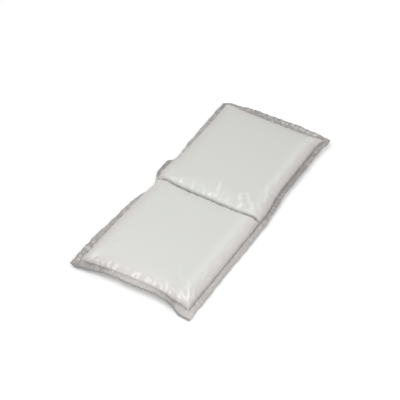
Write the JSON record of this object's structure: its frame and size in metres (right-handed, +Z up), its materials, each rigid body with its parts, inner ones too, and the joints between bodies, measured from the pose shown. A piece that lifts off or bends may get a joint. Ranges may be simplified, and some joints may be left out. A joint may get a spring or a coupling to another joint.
{
  "type": "reusable ice pack",
  "caption": "Flat cold pack lying down: two soft, gently crowned cells side by side, folding along the weld between them, with a wavy welded rim all round.",
  "frame": {"origin": "on the floor under the middle of the outline of the pack, 3 mm from the fold", "axes": "+X along the pack, +Y across it along the fold, +Z up"},
  "size_m": [0.3276, 0.1527, 0.0174],
  "materials": {
    "film": "satin white film over white filling, greyer and frosted where the two sheets are welded"
  },
  "bodies": {
    "root": {"ice_pack": "film"}
  },
  "joints": []
}
